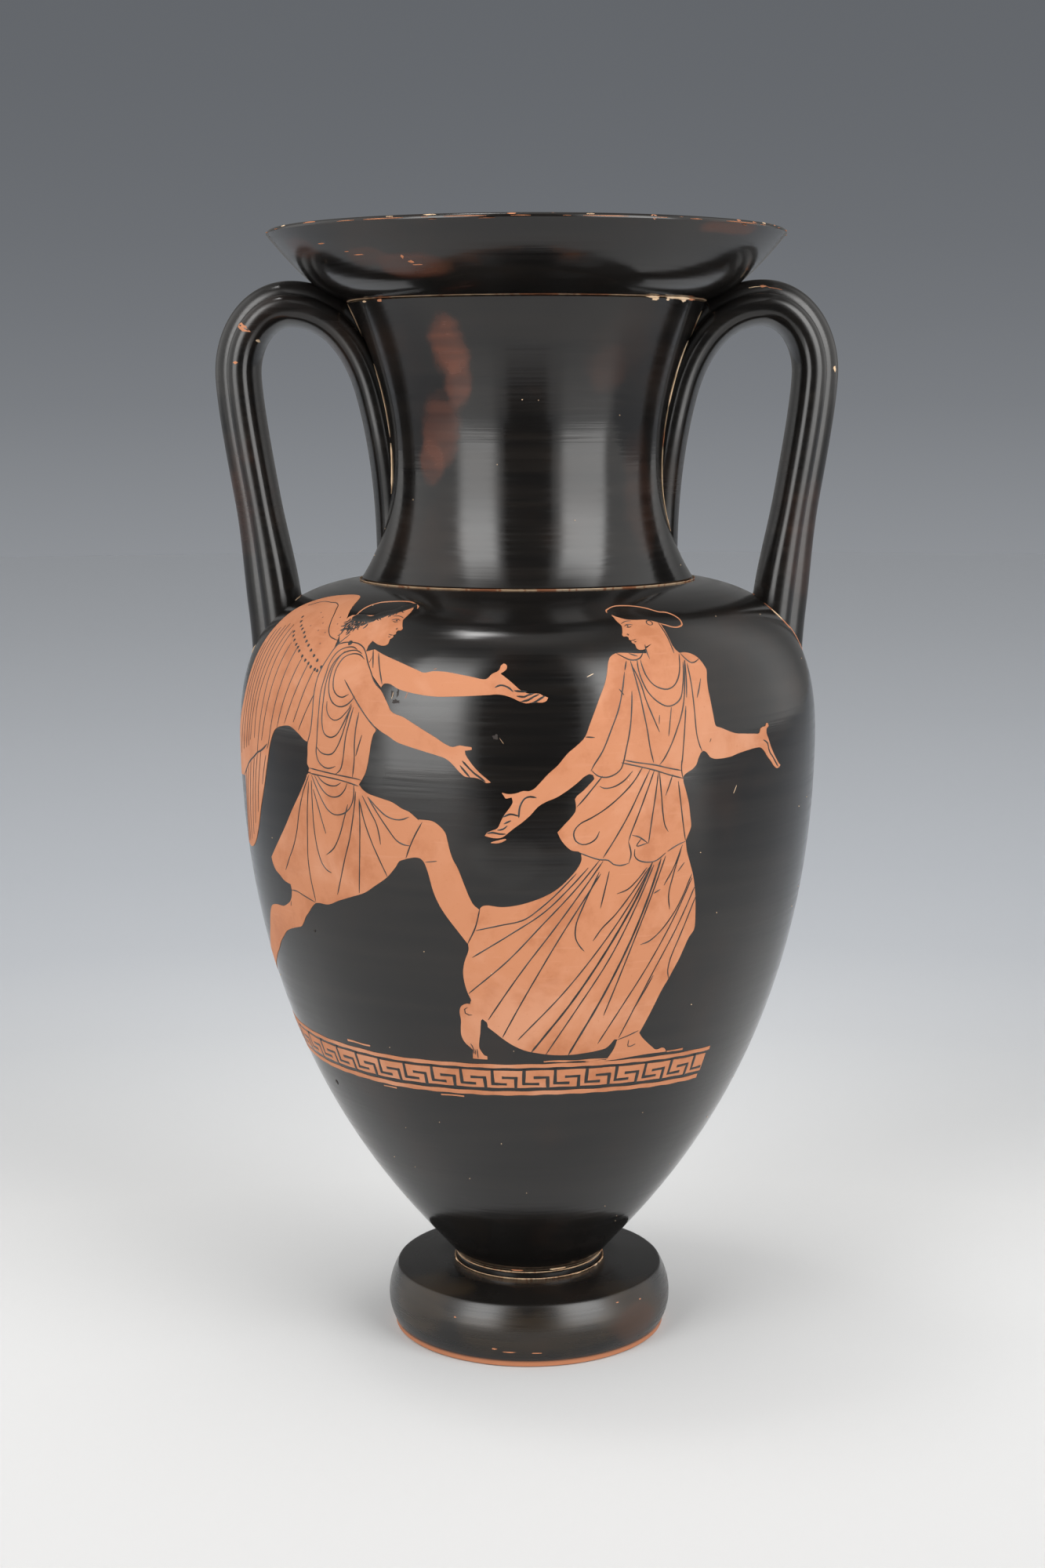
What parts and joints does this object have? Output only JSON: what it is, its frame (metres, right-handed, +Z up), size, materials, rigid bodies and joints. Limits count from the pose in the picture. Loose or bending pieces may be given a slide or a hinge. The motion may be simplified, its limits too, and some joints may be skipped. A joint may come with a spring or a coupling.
{
  "type": "neck amphora",
  "caption": "Two-handled clay storage jar with a wide flaring mouth, concave neck, ovoid body and disc foot, painted with running figures over a key-pattern band.",
  "frame": {"origin": "centre of the resting face of the foot, on the vessel's axis", "axes": "+Z up along the vessel's axis, +X through the right-hand handle, -Y towards the painted side"},
  "size_m": [0.1882, 0.1764, 0.34],
  "materials": {
    "black_gloss": "black clay slip fired to a soft gloss, thin and brownish in places",
    "clay": "fired orange clay, matt to satin, with thin black relief lines",
    "pale_clay": "worn pale clay in the incised rings and along chipped seams"
  },
  "bodies": {
    "root": {"foot": "black_gloss", "foot_fillet": "black_gloss", "body": "black_gloss", "neck": "black_gloss", "mouth": "black_gloss", "handle_left": "black_gloss", "handle_right": "black_gloss"}
  },
  "joints": []
}
